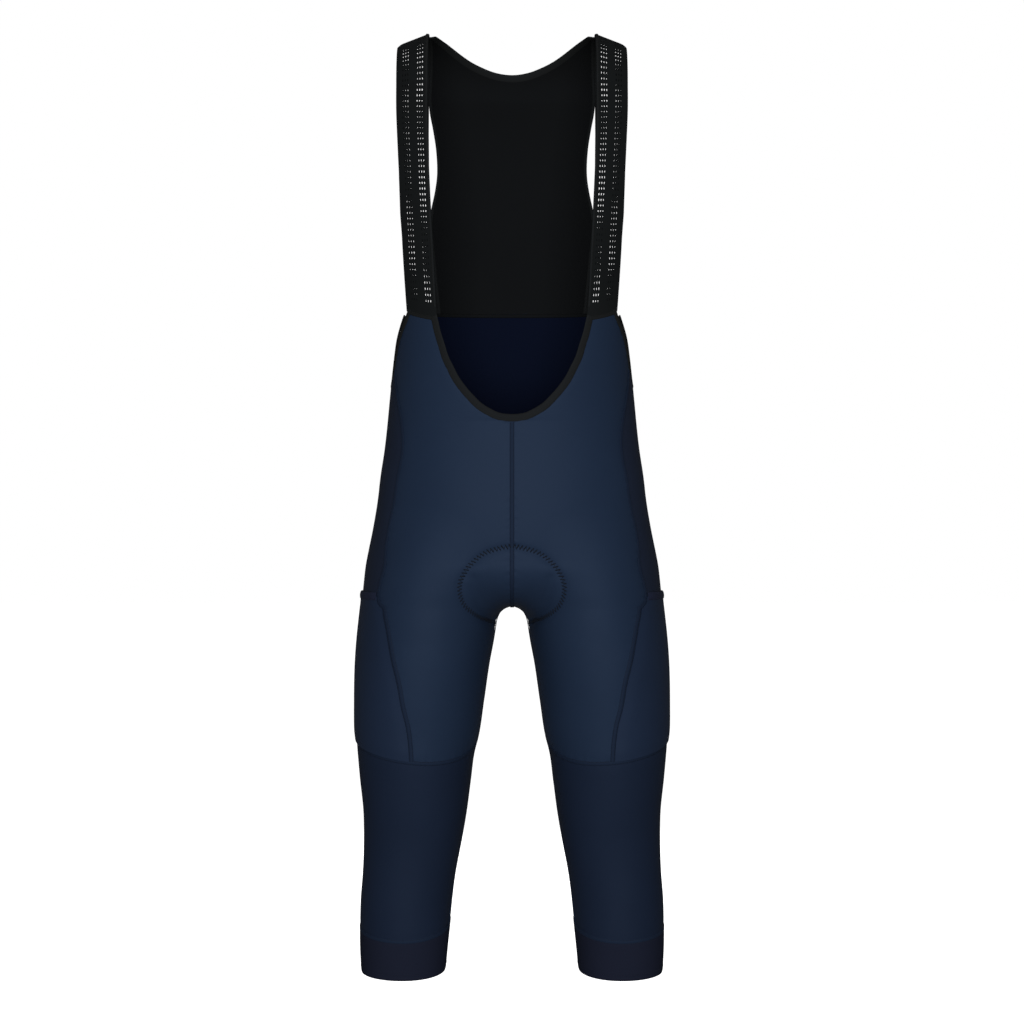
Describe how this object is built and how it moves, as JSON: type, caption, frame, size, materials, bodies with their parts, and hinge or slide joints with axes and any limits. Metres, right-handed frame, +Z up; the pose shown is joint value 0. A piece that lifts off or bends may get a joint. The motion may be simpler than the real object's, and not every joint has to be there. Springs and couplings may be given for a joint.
{
  "type": "bib knickers",
  "caption": "Close-fitting knee-length cycling bib knickers with a scooped front, punched shoulder straps, thigh pockets and knit cuffs, shown as worn.",
  "frame": {"origin": "midpoint between the tops of the two straps, where the wearer's shoulders hold the garment", "axes": "+Z up, the front faces -Y, the wearer's left leg is at +X"},
  "size_m": [0.3624, 0.2281, 1.0819],
  "materials": {
    "navy_knit": "smooth stretch knit with a soft sheen",
    "hem_knit": "folded stretch knit",
    "cuff_rib": "matt gripper knit",
    "strap_mesh": "punched stretch band",
    "black_knit": "matt stretch knit",
    "binding_tape": "narrow elastic tape",
    "pad_foam": "brushed foam"
  },
  "bodies": {
    "root": {"front_left": "navy_knit", "front_right": "navy_knit", "back_left": "navy_knit", "back_right": "navy_knit", "side_left": "navy_knit", "side_right": "navy_knit", "pocket_left": "navy_knit", "pocket_right": "navy_knit", "pocket_hem_left": "hem_knit", "pocket_hem_right": "hem_knit", "shin_left": "navy_knit", "shin_right": "navy_knit", "cuff_left": "cuff_rib", "cuff_right": "cuff_rib", "strap_left": "strap_mesh", "strap_right": "strap_mesh", "back_yoke": "black_knit", "neck_binding": "binding_tape", "back_neck_binding": "binding_tape", "armhole_binding_left": "binding_tape", "armhole_binding_right": "binding_tape", "padding": "pad_foam"}
  },
  "joints": []
}
